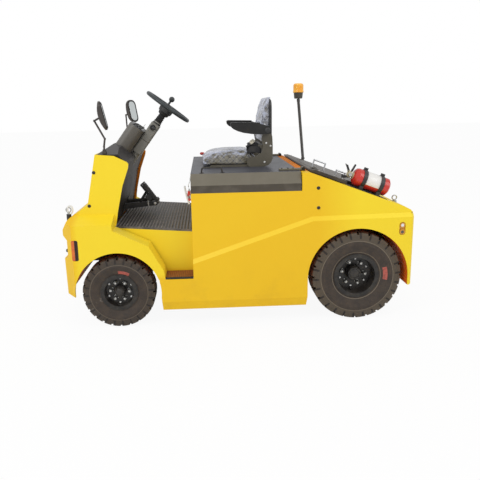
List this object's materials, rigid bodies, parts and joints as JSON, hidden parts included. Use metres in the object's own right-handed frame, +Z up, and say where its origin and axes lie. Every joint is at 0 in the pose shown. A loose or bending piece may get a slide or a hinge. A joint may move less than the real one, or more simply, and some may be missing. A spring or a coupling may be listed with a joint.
{
  "type": "aircraft pushback tractor",
  "caption": "Open electric tow tractor with a yellow body, upright cowl, driver's seat on a hinged battery cover, sloping rear deck, beacon and lugged tyres.",
  "frame": {"origin": "on the floor, at the middle of the overall length and width", "axes": "+Z up; the tractor's front faces -X and the driver's left is -Y"},
  "size_m": [2.33, 1.204, 1.578],
  "materials": {
    "yellow_paint": "gloss",
    "dark_trim": "satin",
    "floor_rubber": "ribbed",
    "brown_tread": "matte",
    "black_cover": "satin",
    "chassis_black": "satin",
    "bright_steel": "bright",
    "amber_lens": "gloss",
    "black_plastic": "satin",
    "red_paint": "gloss",
    "seat_cover": "quilted",
    "tyre": "matte",
    "black_rim": "satin"
  },
  "bodies": {
    "chassis": {"chassis_frame": "chassis_black", "front_body": "yellow_paint", "arch_liners": "yellow_paint", "cowl": "yellow_paint", "cowl_liner": "dark_trim", "floor_mat": "floor_rubber", "step_treads": "brown_tread", "seat_box_front": "yellow_paint", "cover_latch": "bright_steel", "side_panel_left": "yellow_paint", "side_panel_right": "yellow_paint", "rear_deck": "yellow_paint", "rear_plate": "yellow_paint", "battery": "chassis_black", "front_axle": "chassis_black", "rear_axle": "chassis_black", "instrument_pod": "dark_trim", "steering_column": "dark_trim", "pedals": "black_plastic", "turn_lamp_left": "amber_lens", "turn_lamp_right": "amber_lens", "side_sockets": "bright_steel", "lifting_eyes": "bright_steel", "tow_coupling": "chassis_black", "mirror_left": "black_plastic", "mirror_right": "black_plastic", "beacon_pole": "black_plastic", "beacon_lamp": "amber_lens"},
    "cover": {"battery_cover": "black_cover", "seat_frame": "black_plastic", "seat_cushion": "seat_cover", "seat_back": "seat_cover"},
    "hood": {"rear_hood": "black_cover", "extinguisher": "red_paint", "extinguisher_cradle": "black_plastic"},
    "arm_left": {"armrest_left": "black_plastic"},
    "arm_right": {"armrest_right": "black_plastic"},
    "steering_wheel": {"steering_wheel": "black_plastic"},
    "knuckle_left": {"knuckle_left": "chassis_black"},
    "knuckle_right": {"knuckle_right": "chassis_black"},
    "tie_rod": {"tie_rod": "bright_steel"},
    "wheel_front_left": {"front_tyre_left": "tyre", "front_rim_left": "black_rim"},
    "wheel_front_right": {"front_tyre_right": "tyre", "front_rim_right": "black_rim"},
    "wheel_rear_left": {"rear_tyre_left": "tyre", "rear_rim_left": "black_rim"},
    "wheel_rear_right": {"rear_tyre_right": "tyre", "rear_rim_right": "black_rim"}
  },
  "joints": [
    {"name": "steer_left", "type": "hinge", "parent": "chassis", "child": "knuckle_left", "pos_m": [-0.819, -0.43, 0.235], "axis": [0, 0, 1], "range_deg": [-38, 38]},
    {"name": "steer_right", "type": "hinge", "parent": "chassis", "child": "knuckle_right", "pos_m": [-0.819, 0.43, 0.235], "axis": [0, 0, 1], "range_deg": [-38, 38]},
    {"name": "tie_rod_pivot", "type": "hinge", "parent": "knuckle_left", "child": "tie_rod", "pos_m": [-0.699, -0.43, 0.1707], "axis": [0, 0, 1], "range_deg": [-38, 38]},
    {"name": "steering_wheel_turn", "type": "hinge", "parent": "chassis", "child": "steering_wheel", "pos_m": [-0.494, 0, 1.407], "axis": [0.6, 0, 0.8], "range_deg": [-456, 456]},
    {"name": "front_left_spin", "type": "hinge", "parent": "knuckle_left", "child": "wheel_front_left", "pos_m": [-0.819, -0.51, 0.235], "axis": [0, 1, 0], "continuous": true},
    {"name": "front_right_spin", "type": "hinge", "parent": "knuckle_right", "child": "wheel_front_right", "pos_m": [-0.819, 0.51, 0.235], "axis": [0, 1, 0], "continuous": true},
    {"name": "rear_left_spin", "type": "hinge", "parent": "chassis", "child": "wheel_rear_left", "pos_m": [0.731, -0.492, 0.295], "axis": [0, 1, 0], "continuous": true},
    {"name": "rear_right_spin", "type": "hinge", "parent": "chassis", "child": "wheel_rear_right", "pos_m": [0.731, 0.492, 0.295], "axis": [0, 1, 0], "continuous": true},
    {"name": "cover_lift", "type": "hinge", "parent": "chassis", "child": "cover", "pos_m": [0.384, 0, 1.004], "axis": [0, 1, 0], "range_deg": [0, 60]},
    {"name": "hood_lift", "type": "hinge", "parent": "chassis", "child": "hood", "pos_m": [0.92719, 0, 0.80613], "axis": [0, 1, 0], "range_deg": [0, 60]},
    {"name": "arm_left_fold", "type": "hinge", "parent": "cover", "child": "arm_left", "pos_m": [0.182, -0.29, 1.24], "axis": [0, 1, 0], "range_deg": [0, 90]},
    {"name": "arm_right_fold", "type": "hinge", "parent": "cover", "child": "arm_right", "pos_m": [0.182, 0.29, 1.24], "axis": [0, 1, 0], "range_deg": [0, 90]}
  ],
  "couplings": [
    {"joint": "steer_right", "follows": "steer_left", "ratio": 1},
    {"joint": "tie_rod_pivot", "follows": "steer_left", "ratio": -1},
    {"joint": "steering_wheel_turn", "follows": "steer_left", "ratio": 12}
  ]
}
